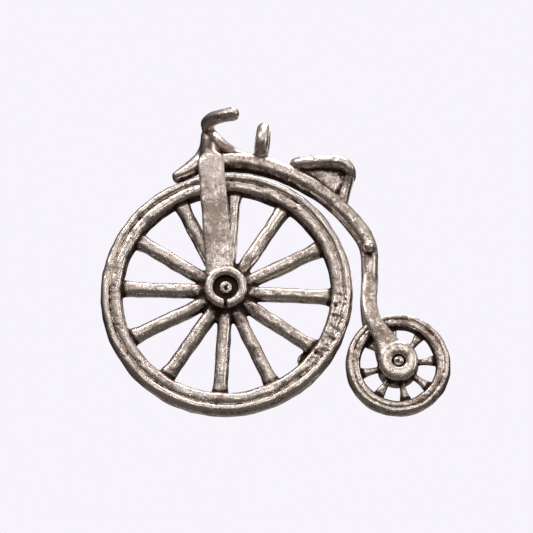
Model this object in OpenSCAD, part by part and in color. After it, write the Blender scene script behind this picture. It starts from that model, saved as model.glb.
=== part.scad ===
// Penny farthing bicycle charm, cast in silver, hung from a loop on its backbone.
// +X runs from the big front wheel to the small rear wheel, +Z is up, and the bicycle's
// own plane is Y = 0. The origin is the middle of the hanging loop's hole.

/* [Front wheel] */
// Outer radius of the big wheel
front_r = 9.8; // [9.0:0.1:11.0]
// Radial depth of the outer band of the big wheel
front_tyre_d = 0.78; // [0.6:0.02:1.0]
// Radial depth of the inner band of the big wheel
front_rim_d = 0.8; // [0.5:0.02:1.0]
// Width of the outer band across the big wheel
front_tyre_w = 1.9; // [1.5:0.1:2.0]
// Width of the inner band across the big wheel
front_rim_w = 1.7; // [1.2:0.1:1.9]
// Radius that rounds the big wheel's outer band
front_tyre_round = 0.35; // [0.1:0.05:0.35]
// Radius that rounds the big wheel's inner band
front_rim_round = 0.25; // [0.1:0.05:0.25]
// Number of spokes in the big wheel
front_spokes_n = 12; // [8:1:14]
// Thickness of a spoke of the big wheel
front_spoke_d = 1.15; // [0.6:0.05:1.25]
// Angle of the first spoke of the big wheel above the horizontal
front_spoke_turn = -3; // [-15:1:15]
// Radius of the disc that the big wheel's spokes spring from
front_disc_r = 2.45; // [2.0:0.05:3.0]
// Thickness of the big wheel's disc
front_disc_w = 1.3; // [1.0:0.1:1.6]
// Radius of the big wheel's hub barrel
front_barrel_r = 1.5; // [1.2:0.05:1.8]
// Length of the big wheel's hub barrel
front_barrel_w = 2.0; // [1.8:0.1:2.1]

/* [Rear wheel] */
// Outer radius of the small wheel
rear_r = 4.0; // [3.6:0.01:4.4]
// Radial depth of the outer band of the small wheel
rear_tyre_d = 0.56; // [0.4:0.02:0.7]
// Radial depth of the inner band of the small wheel
rear_rim_d = 0.54; // [0.3:0.02:0.6]
// Width of the outer band across the small wheel
rear_tyre_w = 1.5; // [1.1:0.1:1.6]
// Width of the inner band across the small wheel
rear_rim_w = 1.4; // [1.0:0.1:1.5]
// Radius that rounds the small wheel's outer band
rear_tyre_round = 0.2; // [0.1:0.05:0.2]
// Radius that rounds the small wheel's inner band
rear_rim_round = 0.15; // [0.05:0.05:0.15]
// Number of spokes in the small wheel
rear_spokes_n = 8; // [6:1:10]
// Thickness of a spoke of the small wheel
rear_spoke_d = 0.56; // [0.3:0.02:0.7]
// Angle of the first spoke of the small wheel above the horizontal
rear_spoke_turn = 10; // [-20:1:20]
// Radius of the small wheel's disc
rear_disc_r = 1.65; // [1.4:0.05:1.9]
// Thickness of the small wheel's disc
rear_disc_w = 0.9; // [0.6:0.1:1.1]
// Radius of the small wheel's hub barrel
rear_barrel_r = 1.3; // [1.0:0.05:1.35]
// Length of the small wheel's hub barrel
rear_barrel_w = 1.6; // [1.2:0.1:1.8]

/* [Layout] */
// Distance along the ground from the front axle back to the rear axle
wheelbase = 13.2; // [13.0:0.05:14.5]
// Gap between the tread of the big wheel and the backbone that hugs it
tread_gap = 0.3; // [0.15:0.05:0.5]
// Gap on each side between a wheel's tyre and the fork that straddles it
side_gap = 0.15; // [0.15:0.05:0.5]
// Gap on each side between a hub barrel and the eyes beside it
hub_gap = 0.06; // [0.04:0.01:0.15]
// Running clearance on the radius between a wheel's bore and its pin
running_clearance = 0.04; // [0.02:0.01:0.1]

/* [Backbone] */
// Depth of the backbone bar, across its curve
bar_h = 1.4; // [1.1:0.05:1.6]
// Thickness of the backbone bar
bar_w = 1.7; // [1.3:0.05:1.9]
// Radius that rounds the backbone bar's corners
bar_round = 0.45; // [0.2:0.05:0.5]
// Radius of the middle stretch of the backbone, where it leaves the wheel's curve
sweep_r = 13.5; // [12:0.25:16]
// Radius of the bend where the backbone turns down
bend_r = 1.8; // [1.2:0.1:2.0]
// Length of the straight stem below the bend
stem_l = 4.1; // [3.4:0.1:4.6]
// Diameter of the mounting step's round head
step_d = 1.0; // [0.6:0.05:1.2]
// Height of the mounting step's round head above its peg
step_head_h = 0.6; // [0.3:0.05:0.7]

/* [Head and handlebar] */
// Distance of the neck ahead of the front axle
neck_ahead = 1.56; // [1.0:0.02:1.6]
// Diameter of the neck
neck_d = 1.5; // [1.3:0.05:1.8]
// Height of the handlebar above the front axle
handlebar_z = 13.7; // [12.8:0.1:14.5]
// Thickness of the handlebar rod
handlebar_d = 1.02; // [0.8:0.02:1.2]
// Straight length on each side of the neck before the handlebar turns back
handlebar_straight = 1.3; // [0.9:0.1:1.8]
// Radius of the handlebar's bend
handlebar_bend_r = 1.2; // [0.9:0.1:1.6]
// Angle through which each end of the handlebar turns back
handlebar_turn = 50; // [30:1:80]
// Angle by which the handlebar as a whole is turned out of square
handlebar_skew = 10; // [0:1:15]
// Straight length of each grip, past the bend
grip_l = 1.25; // [0.6:0.05:2.0]

/* [Forks] */
// Width of the front fork leg at its top
leg_top_w = 2.05; // [1.6:0.05:2.4]
// Width of the front fork leg at its foot
leg_foot_w = 2.25; // [1.8:0.05:2.6]
// Thickness of the front fork leg
leg_t = 0.6; // [0.5:0.05:1.0]
// Outer radius of the eye at the foot of a front fork leg
front_eye_r = 1.66; // [1.4:0.02:1.9]
// Radius of the countersink in a front eye
front_sink_r = 0.95; // [0.7:0.05:1.2]
// Radius of the front axle pin
front_pin_r = 0.5; // [0.4:0.02:0.6]
// Width of the cut at the bottom of a front eye
eye_slit_w = 0.16; // [0.1:0.02:0.3]
// Width of a rear fork arm
arm_w = 1.15; // [0.9:0.05:1.4]
// Thickness of a rear fork arm
arm_t = 0.6; // [0.5:0.05:1.0]
// Outer radius of the eye at the foot of a rear fork arm
rear_eye_r = 1.5; // [1.3:0.05:1.7]
// Radius of the countersink in a rear eye
rear_sink_r = 0.55; // [0.5:0.01:0.8]
// Radius of the rear axle pin
rear_pin_r = 0.4; // [0.3:0.02:0.44]
// How far an eye stands out beyond its leg or arm
eye_proud = 0.1; // [0.05:0.05:0.6]
// Depth of the countersink in an eye
sink_depth = 0.4; // [0.3:0.05:0.5]
// Depth of a pin's end below the face of its eye
pin_recess = 0.15; // [0.05:0.05:0.3]

/* [Saddle] */
// Length of the saddle plate
saddle_l = 5.1; // [4.4:0.1:5.6]
// Thickness of the saddle plate
saddle_t = 0.75; // [0.5:0.05:0.9]
// Width of the saddle at its nose
saddle_nose_w = 1.7; // [1.2:0.1:2.2]
// Width of the saddle at its back
saddle_back_w = 3.1; // [2.4:0.1:3.6]
// Thickness of the web between the saddle and the backbone
web_t = 0.7; // [0.4:0.05:1.0]
// Width of the post under the back of the saddle
post_w = 1.5; // [1.0:0.1:1.7]

/* [Hanging loop] */
// Radius of the loop's hole
loop_hole_r = 0.75; // [0.5:0.05:0.8]
// Outer radius of the loop
loop_r = 1.65; // [1.5:0.05:1.8]
// Width of the loop along the bicycle
loop_w = 1.15; // [0.9:0.05:1.3]
// Lean of the loop towards the rear
loop_lean = 5; // [0:1:10]

/* [Brake spoon] */
// Width of the brake spoon
spoon_w = 1.4; // [0.8:0.1:1.6]
// Gap between the brake spoon and the tread
spoon_gap = 0.18; // [0.15:0.01:0.4]

/* [Hidden] */
$fn = 96;
// Overshoot of a cutting tool past the face it cuts
over = 0.5;
// Difference in size that keeps two tangent bars from sharing a surface
hair = 0.02;
// Angle by which a slimmer bar runs into the bar it continues
bar_overlap = 0.6;
silver = [0.62, 0.57, 0.52];
dark_silver = [0.45, 0.39, 0.34];
bright_silver = [0.80, 0.75, 0.69];

// The front axle is the working origin of everything below; place() moves it to its place.
front_rim_r = front_r - front_tyre_d;
rear_rim_r = rear_r - rear_tyre_d;
rear_axle_z = rear_r - front_r;
arc_r = front_r + tread_gap + bar_h / 2;

// Backbone: an arc about the front axle, a flatter sweep, a short bend, then the stem.
arc_start = 94;
arc_end = 72;
sweep_end = 30;
// The mounting step stands this far up the bend, on a short peg.
step_turn = 5;
step_peg_l = 0.1;
step_peg_d = 0.5;
sweep_c = (arc_r - sweep_r) * [cos(arc_end), sin(arc_end)];
sweep_p = sweep_c + sweep_r * [cos(sweep_end), sin(sweep_end)];
bend_c = sweep_p - bend_r * [cos(sweep_end), sin(sweep_end)];
step_c = bend_c + bend_r * [cos(step_turn), sin(step_turn)];
stem_top = bend_c + [bend_r, 0];
stem_foot = stem_top - [0, stem_l];

// Where the forks stand across the bicycle.
leg_in = front_tyre_w / 2 + side_gap;
leg_out = leg_in + leg_t;
front_eye_in = front_barrel_w / 2 + hub_gap;
front_eye_out = leg_out + eye_proud;
arm_in = rear_tyre_w / 2 + side_gap;
arm_out = arm_in + arm_t;
rear_eye_in = rear_barrel_w / 2 + hub_gap;
rear_eye_out = arm_out + eye_proud;

// Front fork leg, in its side outline: it leans forward towards the top.
leg_lean = 5.2;
leg_foot_x = -0.36;
leg_foot_z = 1;
crown_bottom = front_r + 0.35;
crown_top = crown_bottom + 0.8;
shoulder_rise = 1.3;
leg_top_x = leg_foot_x - crown_bottom * tan(leg_lean);

// Steering head: a neck on a crown, with a concave fillet down to the backbone.
neck_x = -neck_ahead;
fillet_r = 3.2;
fillet_drop = 0.85;
fillet_c = [neck_x + neck_d / 2 + fillet_r, handlebar_z - fillet_drop];
flank_c = [neck_x - neck_d / 2 - fillet_r, handlebar_z];
head_left = leg_top_x - leg_top_w / 2;

// Hanging loop: its hole clears the backbone below it.
loop_x = 2.7;
loop_lift = 0.4;
loop_z = sqrt(pow(arc_r + bar_h / 2, 2) - pow(loop_x - loop_w / 2, 2)) + loop_hole_r + loop_lift;

// Rear fork arm: its middle line from the stem's foot to the rear axle.
arm_drop = 1.5;
arm_knee = [0.3, -2.4];
arm_shin = [1.1, -3.5];
arm_path = [stem_foot, stem_foot - [0, arm_drop], stem_foot + arm_knee, stem_foot + arm_shin,
            [wheelbase, rear_axle_z]];
shoulder_h = 0.8;

// Brake spoon: the arc of its upper face, and where its tip ends.
spoon_c = [-0.5, 6.45];
spoon_r = 5;
spoon_tip_x = -4.48;
spoon_depth = 3;
spoon_floor = front_r - 1.5;

// Saddle, in its side outline: a flat top, a blunt nose and a back that curls down.
saddle_x = 4.95;
saddle_curl = 1.45;
saddle_top = 11.02;
saddle_back_x = saddle_x + saddle_l;
saddle_curl_z = saddle_top - saddle_curl;
saddle_back_r = 1.1;
web_x = 6;
web_foot_z = 8.3;
post_x = 9.5;
post_d = 0.5;
post_lean = 0.35;
post_foot_z = 6.3;
post_top_z = saddle_curl_z + 0.25;

module place() { translate([-loop_x, 0, -loop_z]) children(); }

module at_rear_axle() { translate([wheelbase, 0, rear_axle_z]) children(); }

// Mirrors the near side's piece onto the far side.
module far_side() { mirror([0, 1, 0]) children(); }

// Stands a flat side outline in the bicycle's plane, from y0 to y1 across it.
module side_plate(y0, y1) {
    translate([0, y1, 0]) rotate([90, 0, 0]) linear_extrude(height = y1 - y0) children();
}

// A cylinder across the bicycle at the working origin, from y0 to y1.
module cross_pin(r, y0, y1) {
    translate([0, y1, 0]) rotate([90, 0, 0]) cylinder(r = r, h = y1 - y0);
}

module rounded_rect(w, h, r) {
    square([w - 2 * r, h], center = true);
    square([w, h - 2 * r], center = true);
    for (sx = [-1, 1], sy = [-1, 1])
        translate([sx * (w / 2 - r), sy * (h / 2 - r)]) circle(r = r, $fn = 32);
}

// A bar of depth h bent to an arc of radius r about the point c, from angle a0 to a1.
module bent_bar(c, r, a0, a1, h, w) {
    translate([c[0], 0, c[1]]) rotate([90, 0, 0]) rotate([0, 0, a0])
        rotate_extrude(angle = a1 - a0) translate([r, 0]) rounded_rect(h, w, bar_round);
}

// The sweep is a hair slimmer and runs a little way into the end of the first arc.
module backbone_shape() {
    bent_bar([0, 0], arc_r, arc_end, arc_start, bar_h, bar_w);
    bent_bar(sweep_c, sweep_r, sweep_end, arc_end + bar_overlap, bar_h - hair, bar_w - hair);
}

module backbone() { color(silver) backbone_shape(); }

// The stem ends in a shoulder that fills the space between the two fork arms.
module rear_stem() {
    color(silver) {
        bent_bar(bend_c, bend_r, -bar_overlap, sweep_end, bar_h - hair, bar_w - hair);
        translate([stem_foot[0], 0, stem_foot[1]]) linear_extrude(height = stem_l)
            rounded_rect(bar_h, bar_w, bar_round);
        translate([stem_foot[0] - arm_w / 2, -arm_in, stem_foot[1] - shoulder_h / 2])
            cube([arm_w, 2 * arm_in, shoulder_h]);
    }
}

// Side outline of one length of arm between two points, with a round start.
module strut(p, q, w) {
    translate(p) rotate(atan2(q[1] - p[1], q[0] - p[0])) translate([0, -w / 2])
        square([norm(q - p), w]);
    translate(p) circle(d = w, $fn = 48);
}

module arm_outline() {
    for (i = [0 : len(arm_path) - 2]) strut(arm_path[i], arm_path[i + 1], arm_w);
}

// Near rear arm: flat outline, eye boss, countersink and the hole for the pin.
module rear_arm() {
    color(bright_silver) difference() {
        union() {
            side_plate(-arm_out, -arm_in) arm_outline();
            at_rear_axle() cross_pin(rear_eye_r, -rear_eye_out, -rear_eye_in);
        }
        at_rear_axle() cross_pin(rear_sink_r, -rear_eye_out - over, -rear_eye_out + sink_depth);
        at_rear_axle() cross_pin(rear_pin_r, -rear_eye_out - over, 0);
    }
}

module leg_outline() {
    polygon([[leg_foot_x - leg_foot_w / 2, leg_foot_z], [leg_foot_x + leg_foot_w / 2, leg_foot_z],
             [leg_top_x + leg_top_w / 2, crown_bottom], [leg_top_x - leg_top_w / 2, crown_bottom]]);
}

// Near front leg: flat outline, eye ring cut open at the bottom, countersink and pin hole.
module front_leg() {
    color(bright_silver) difference() {
        union() {
            side_plate(-leg_out, -leg_in) leg_outline();
            cross_pin(front_eye_r, -front_eye_out, -front_eye_in);
        }
        cross_pin(front_sink_r, -front_eye_out - over, -front_eye_out + sink_depth);
        cross_pin(front_pin_r, -front_eye_out - over, 0);
        translate([-eye_slit_w / 2, -front_eye_out - over, -front_eye_r - over])
            cube([eye_slit_w, sink_depth + over, front_eye_r]);
    }
}

// The head's side outline: the crown, and above it a neck flared by two concave arcs.
module head_outline() {
    difference() {
        translate([head_left, crown_bottom])
            square([fillet_c[0] - head_left, handlebar_z - crown_bottom]);
        translate(fillet_c) circle(r = fillet_r);
        translate(flank_c) circle(r = fillet_r);
    }
}

// The head's outline from the front: both shoulders slope up to the neck.
module shoulder_outline() {
    polygon([[-leg_out, crown_bottom], [-leg_out, crown_top], [-neck_d / 2, crown_top + shoulder_rise],
             [-neck_d / 2, handlebar_z], [neck_d / 2, handlebar_z], [neck_d / 2, crown_top + shoulder_rise],
             [leg_out, crown_top], [leg_out, crown_bottom]]);
}

module head_shape() {
    side_plate(-bar_w / 2, bar_w / 2) head_outline();
    intersection() {
        side_plate(-leg_out - over, leg_out + over) head_outline();
        translate([head_left - over, 0, 0]) rotate([90, 0, 90])
            linear_extrude(height = leg_top_w + over) shoulder_outline();
    }
}

module steering_head() {
    color(dark_silver) difference() {
        head_shape();
        backbone_shape();
        handlebar_shape();
    }
}

// One half of the handlebar, towards -Y: straight, bend back, grip with a round end.
module handlebar_half() {
    r = handlebar_d / 2;
    translate([0, -handlebar_straight, handlebar_z]) {
        rotate([-90, 0, 0]) cylinder(r = r, h = handlebar_straight);
        translate([handlebar_bend_r, 0, 0]) {
            rotate([0, 0, 180]) rotate_extrude(angle = handlebar_turn)
                translate([handlebar_bend_r, 0]) circle(r = r);
            rotate([0, 0, handlebar_turn]) translate([-handlebar_bend_r, 0, 0]) {
                rotate([90, 0, 0]) cylinder(r = r, h = grip_l);
                translate([0, -grip_l, 0]) sphere(r = r);
            }
        }
    }
}

module handlebar_shape() {
    translate([neck_x, 0, 0]) rotate([0, 0, handlebar_skew]) {
        handlebar_half();
        far_side() handlebar_half();
    }
}

module handlebar() { color(silver) handlebar_shape(); }

// A wedge over the tread: an arc that follows the wheel below, a tighter arc above.
module spoon_shape() {
    side_plate(-spoon_w / 2, spoon_w / 2) intersection() {
        difference() {
            translate(spoon_c) circle(r = spoon_r);
            circle(r = front_r + spoon_gap);
        }
        translate([spoon_tip_x, spoon_floor])
            square([head_left - spoon_tip_x, spoon_depth]);
    }
}

module brake_spoon() { color(silver) spoon_shape(); }

module pin(r, out) {
    color(dark_silver) cross_pin(r, -out, out);
}

module saddle_outline() {
    translate([saddle_x + saddle_t / 2, saddle_top - saddle_t / 2]) circle(d = saddle_t);
    translate([saddle_x + saddle_t / 2, saddle_top - saddle_t])
        square([saddle_l - saddle_t / 2 - saddle_back_r, saddle_t]);
    intersection() {
        translate([saddle_back_x - saddle_back_r, saddle_top - saddle_back_r]) difference() {
            circle(r = saddle_back_r);
            circle(r = saddle_back_r - saddle_t);
        }
        translate([saddle_back_x - saddle_back_r, saddle_curl_z])
            square([saddle_back_r, saddle_top - saddle_curl_z]);
    }
}

module saddle_plan() {
    polygon([[saddle_x, -saddle_nose_w / 2], [saddle_back_x, -saddle_back_w / 2],
             [saddle_back_x, saddle_back_w / 2], [saddle_x, saddle_nose_w / 2]]);
}

module saddle_shape() {
    intersection() {
        side_plate(-saddle_back_w, saddle_back_w) saddle_outline();
        translate([0, 0, saddle_curl_z - over])
            linear_extrude(height = saddle_top - saddle_curl_z + 2 * over) saddle_plan();
    }
}

module saddle() {
    color(bright_silver) difference() {
        saddle_shape();
        backbone_shape();
    }
}

// A thin web under the saddle, thickened at the back into a post.
module saddle_bracket() {
    color(dark_silver) difference() {
        union() {
            side_plate(-web_t / 2, web_t / 2)
                polygon([[web_x, web_foot_z], [web_x, saddle_top - saddle_t / 2],
                         [post_x, post_top_z], [post_x, post_foot_z]]);
            side_plate(-post_w / 2, post_w / 2)
                polygon([[post_x - post_d, post_foot_z + 0.7], [post_x - post_d, post_top_z],
                         [post_x + post_lean, post_top_z], [post_x, post_foot_z + 1.3],
                         [post_x, post_foot_z]]);
        }
        backbone_shape();
        saddle_shape();
    }
}

// The loop is a round ring with its hole bored out to a straight wall, along +X.
module hanging_loop() {
    color(silver) difference() {
        translate([loop_x, 0, loop_z]) rotate([0, 90 + loop_lean, 0]) difference() {
            rotate_extrude() translate([loop_r - loop_w / 2, 0]) circle(d = loop_w);
            cylinder(r = loop_hole_r, h = 2 * loop_w, center = true);
        }
        backbone_shape();
    }
}

// A peg with a domed head, standing on the flat near side of the bend.
module mounting_step() {
    color(bright_silver) translate([step_c[0], -(bar_w - hair) / 2, step_c[1]])
        rotate([90, 0, 0]) {
            cylinder(d = step_peg_d, h = step_peg_l);
            translate([0, 0, step_peg_l]) rotate_extrude() intersection() {
                square([step_d, step_head_h]);
                translate([0, step_head_h - step_d / 2]) circle(d = step_d);
            }
        }
}

// A band of a wheel: outer radius r, depth d, width w, corners rounded by c.
module band(r, d, w, c) {
    rotate([90, 0, 0]) rotate_extrude() translate([r - d / 2, 0]) rounded_rect(d, w, c);
}

// The spokes of a wheel between its disc, of radius r0, and its inner band, at radius r1.
module spokes(n, d, r0, r1, turn) {
    rotate([90, 0, 0]) difference() {
        for (i = [0 : n - 1]) rotate([0, 0, turn + i * 360 / n]) rotate([0, 90, 0])
            cylinder(d = d, h = r1 + over, $fn = 48);
        cylinder(r = r0, h = 2 * d, center = true);
        difference() {
            cylinder(r = r1 + 2 * over, h = 2 * d, center = true);
            cylinder(r = r1, h = 3 * d, center = true);
        }
    }
}

module hub(disc_r, disc_w, barrel_r, barrel_w, pin_r) {
    difference() {
        union() {
            cross_pin(disc_r, -disc_w / 2, disc_w / 2);
            cross_pin(barrel_r, -barrel_w / 2, barrel_w / 2);
        }
        cross_pin(pin_r + running_clearance, -barrel_w, barrel_w);
    }
}

place() backbone();
place() rear_stem();
place() rear_arm();  // rear_fork_arm_near
place() far_side() rear_arm();  // rear_fork_arm_far
place() mounting_step();
place() steering_head();
place() handlebar();
place() brake_spoon();
place() front_leg();  // front_fork_leg_near
place() far_side() front_leg();  // front_fork_leg_far
place()  // front_axle_pin
    pin(front_pin_r, front_eye_out - pin_recess);
place() at_rear_axle()  // rear_axle_pin
    pin(rear_pin_r, rear_eye_out - pin_recess);
place() saddle();
place() saddle_bracket();
place() hanging_loop();
place()  // front_tyre_band
    color(silver) band(front_r, front_tyre_d, front_tyre_w, front_tyre_round);
place()  // front_rim
    color(silver) band(front_rim_r, front_rim_d, front_rim_w, front_rim_round);
place() color(silver)  // front_spokes
    spokes(front_spokes_n, front_spoke_d, front_disc_r, front_rim_r - front_rim_d,
           front_spoke_turn);
place() color(dark_silver)  // front_hub
    hub(front_disc_r, front_disc_w, front_barrel_r, front_barrel_w, front_pin_r);
place() at_rear_axle()  // rear_tyre_band
    color(silver) band(rear_r, rear_tyre_d, rear_tyre_w, rear_tyre_round);
place() at_rear_axle()  // rear_rim
    color(silver) band(rear_rim_r, rear_rim_d, rear_rim_w, rear_rim_round);
place() at_rear_axle() color(silver)  // rear_spokes
    spokes(rear_spokes_n, rear_spoke_d, rear_disc_r, rear_rim_r - rear_rim_d,
           rear_spoke_turn);
place() at_rear_axle() color(dark_silver)  // rear_hub
    hub(rear_disc_r, rear_disc_w, rear_barrel_r, rear_barrel_w, rear_pin_r);
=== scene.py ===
"""A cast silver penny farthing charm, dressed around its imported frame.

Every shape is worked out in millimetres about an axle of the bicycle, and carried to the
frame's own metres at the end. +X runs to the rear, +Z is up and the near side is -Y.
Castings that were poured in one piece are swept as separate bars and then melted together,
which gives them the soft fillets that cast silver has.
"""

import logging
import math
from dataclasses import dataclass, field
from enum import Enum
from typing import Callable, Optional, Sequence

import bpy
import numpy as np
from mathutils import Matrix, Vector


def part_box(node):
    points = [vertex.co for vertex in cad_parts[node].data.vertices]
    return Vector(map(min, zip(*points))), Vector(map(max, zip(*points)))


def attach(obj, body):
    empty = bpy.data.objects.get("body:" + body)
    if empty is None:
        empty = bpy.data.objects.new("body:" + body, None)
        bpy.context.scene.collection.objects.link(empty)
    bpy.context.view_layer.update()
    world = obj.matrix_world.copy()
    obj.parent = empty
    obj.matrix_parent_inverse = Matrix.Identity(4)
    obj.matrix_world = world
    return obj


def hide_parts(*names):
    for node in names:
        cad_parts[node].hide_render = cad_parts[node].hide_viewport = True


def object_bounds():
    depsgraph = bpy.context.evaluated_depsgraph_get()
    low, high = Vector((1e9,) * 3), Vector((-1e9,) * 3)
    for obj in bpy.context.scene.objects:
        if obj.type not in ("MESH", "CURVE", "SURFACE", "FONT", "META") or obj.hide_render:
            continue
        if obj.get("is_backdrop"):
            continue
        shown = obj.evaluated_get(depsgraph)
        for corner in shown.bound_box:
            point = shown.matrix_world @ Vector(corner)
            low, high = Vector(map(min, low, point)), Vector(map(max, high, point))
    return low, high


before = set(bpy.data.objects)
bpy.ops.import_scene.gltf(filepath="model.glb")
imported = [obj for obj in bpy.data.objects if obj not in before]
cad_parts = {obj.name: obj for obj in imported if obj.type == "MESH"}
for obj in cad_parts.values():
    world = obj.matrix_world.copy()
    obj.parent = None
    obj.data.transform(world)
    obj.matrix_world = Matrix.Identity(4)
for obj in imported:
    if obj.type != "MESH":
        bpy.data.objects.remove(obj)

log = logging.getLogger("penny_farthing")
MM = 0.001
Stations = Sequence[Sequence[float]]
Colour = tuple[float, float, float, float]


# ------------------------------------------------------------------ places in the frame


def node_box(node: str) -> tuple[np.ndarray, np.ndarray]:
    """The lowest and highest corners of a frame node, in millimetres."""
    low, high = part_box(node)
    return np.array(low) / MM, np.array(high) / MM


@dataclass(frozen=True)
class Datum:
    """The points of the frame that every piece is measured from, in millimetres.

    Attributes:
        front: middle of the big wheel's axle.
        rear: middle of the small wheel's axle.
    """

    front: np.ndarray
    rear: np.ndarray

    @classmethod
    def from_frame(cls) -> "Datum":
        """Reads both axles from the boxes of their pins.

        Returns:
            The two axles.
        """
        front = sum(node_box("front_axle_pin")) / 2
        rear = sum(node_box("rear_axle_pin")) / 2
        return cls(front, rear)

    @property
    def rear_from_front(self) -> np.ndarray:
        """The small wheel's axle as seen from the big wheel's."""
        return self.rear - self.front


# ------------------------------------------------------------------ surfaces as arrays


@dataclass
class Shell:
    """A closed surface: points in millimetres, and its faces as rows of point numbers."""

    points: np.ndarray
    quads: np.ndarray
    tris: np.ndarray = field(default_factory=lambda: np.zeros((0, 3), int))

    def triangles(self) -> np.ndarray:
        """All faces as triangles, each quad cut along a diagonal."""
        halves = [self.quads[:, [0, 1, 2]], self.quads[:, [0, 2, 3]], self.tris]
        return np.concatenate(halves)

    def outward(self) -> "Shell":
        """Turns the faces round if the volume they enclose comes out negative.

        Returns:
            The shell itself.
        """
        a, b, c = (self.points[self.triangles()[:, k]] for k in range(3))
        if np.einsum("ij,ij->i", a, np.cross(b, c)).sum() < 0:
            self.quads = self.quads[:, ::-1]
            self.tris = self.tris[:, ::-1]
        return self

    def moved(self, offset: Sequence[float]) -> "Shell":
        """The same surface carried by an offset."""
        return Shell(self.points + np.array(offset, float), self.quads, self.tris)

    def mirrored(self) -> "Shell":
        """The same surface on the other side of the bicycle's plane."""
        flipped = self.points * np.array([1.0, -1.0, 1.0])
        return Shell(flipped, self.quads, self.tris).outward()


def both_sides(shells: Sequence[Shell]) -> list[Shell]:
    """Each shell and its mirror image across the bicycle's plane."""
    return list(shells) + [shell.mirrored() for shell in shells]


def joined(shells: Sequence[Shell]) -> Shell:
    """Several shells as one set of arrays, with the point numbers shifted to match.

    Args:
        shells: the shells.

    Returns:
        One shell that holds them all.
    """
    starts = np.cumsum([0] + [len(shell.points) for shell in shells[:-1]])
    points = np.concatenate([shell.points for shell in shells])
    quads = np.concatenate([shell.quads + k for shell, k in zip(shells, starts)])
    tris = np.concatenate([shell.tris + k for shell, k in zip(shells, starts)])
    return Shell(points, quads, tris)


def grid_quads(rows: int, columns: int, wrap_rows: bool) -> np.ndarray:
    """Quads of a grid whose columns always close on themselves.

    Args:
        rows: number of rows of points.
        columns: number of points in a row.
        wrap_rows: whether the last row meets the first.

    Returns:
        One row of four point numbers a quad.
    """
    i = np.arange(rows if wrap_rows else rows - 1)[:, None]
    j = np.arange(columns)[None, :]
    up, across = (i + 1) % rows, (j + 1) % columns
    here, above = i * columns, up * columns
    turn = [here + j, above + j, above + across, here + across]
    return np.stack([c + 0 * (i + j) for c in turn], -1).reshape(-1, 4)


def capped(rings: np.ndarray, first: np.ndarray, last: np.ndarray) -> Shell:
    """Closes a tube of rings with one pole point at each end.

    Args:
        rings: the tube's points, rows by columns by three.
        first: the pole before the first ring.
        last: the pole after the last ring.

    Returns:
        The closed shell.
    """
    rows, columns = rings.shape[:2]
    points = np.concatenate([rings.reshape(-1, 3), [first, last]])
    j = np.arange(columns)
    nxt, base, pole = (j + 1) % columns, (rows - 1) * columns, rows * columns
    start = np.stack([nxt, j, np.full(columns, pole)], -1)
    end = np.stack([base + j, base + nxt, np.full(columns, pole + 1)], -1)
    tris = np.concatenate([start, end])
    return Shell(points, grid_quads(rows, columns, False), tris).outward()


def flattened_circle(
    angle: np.ndarray, power: float | np.ndarray
) -> tuple[np.ndarray, np.ndarray]:
    """A superellipse: cosine and sine, each raised to 2 / power with its sign kept."""
    c, s = np.cos(angle), np.sin(angle)
    return np.sign(c) * np.abs(c) ** (2 / power), np.sign(s) * np.abs(s) ** (2 / power)


def distance_along(path: np.ndarray) -> np.ndarray:
    """How far each point is from the first, measured along the path."""
    return np.concatenate([[0], np.cumsum(np.linalg.norm(np.diff(path, axis=0), axis=1))])


def curve_through(stations: Stations, count: int) -> np.ndarray:
    """A smooth curve through rows of numbers of any width, such as place and size.

    Catmull-Rom: between two rows, a cubic whose slope at each row is half the step
    between that row's neighbours. The result is spaced evenly along its first three
    columns, but closer together near both ends, as distance minus its own sine.

    Args:
        stations: rows of x, y, z and any sizes.
        count: number of rows wanted.

    Returns:
        count rows of the same width.
    """
    steps_a_row, crowding = 40, 0.85
    rows = np.array(stations, float)
    padded = np.concatenate([[2 * rows[0] - rows[1]], rows, [2 * rows[-1] - rows[-2]]])
    t = np.linspace(0, len(rows) - 1, steps_a_row * len(rows))
    i = np.minimum(t.astype(int), len(rows) - 2)
    u = (t - i)[:, None]
    p0, p1, p2, p3 = (padded[i + k] for k in range(4))
    square, cube = 2 * p0 - 5 * p1 + 4 * p2 - p3, 3 * p1 - p0 - 3 * p2 + p3
    fine = 0.5 * (2 * p1 + (p2 - p0) * u + square * u**2 + cube * u**3)
    run = distance_along(fine[:, :3])
    w = np.linspace(0, 1, count)
    wanted = run[-1] * (w - crowding * np.sin(2 * np.pi * w) / (2 * np.pi))
    return np.stack([np.interp(wanted, run, column) for column in fine.T], -1)


def arc(
    centre: Sequence[float], radius: float | np.ndarray, start: float, end: float, count: int
) -> np.ndarray:
    """Points x, 0, z on an arc in the bicycle's plane: radius times cosine and sine.

    Args:
        centre: x and z of the arc's centre.
        radius: its radius.
        start: the first angle, in degrees.
        end: the last angle.
        count: number of points.

    Returns:
        One row a point.
    """
    a = np.radians(np.linspace(start, end, count))
    x, z = centre[0] + radius * np.cos(a), centre[1] + radius * np.sin(a)
    return np.stack([x, np.zeros_like(x), z], -1)


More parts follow.
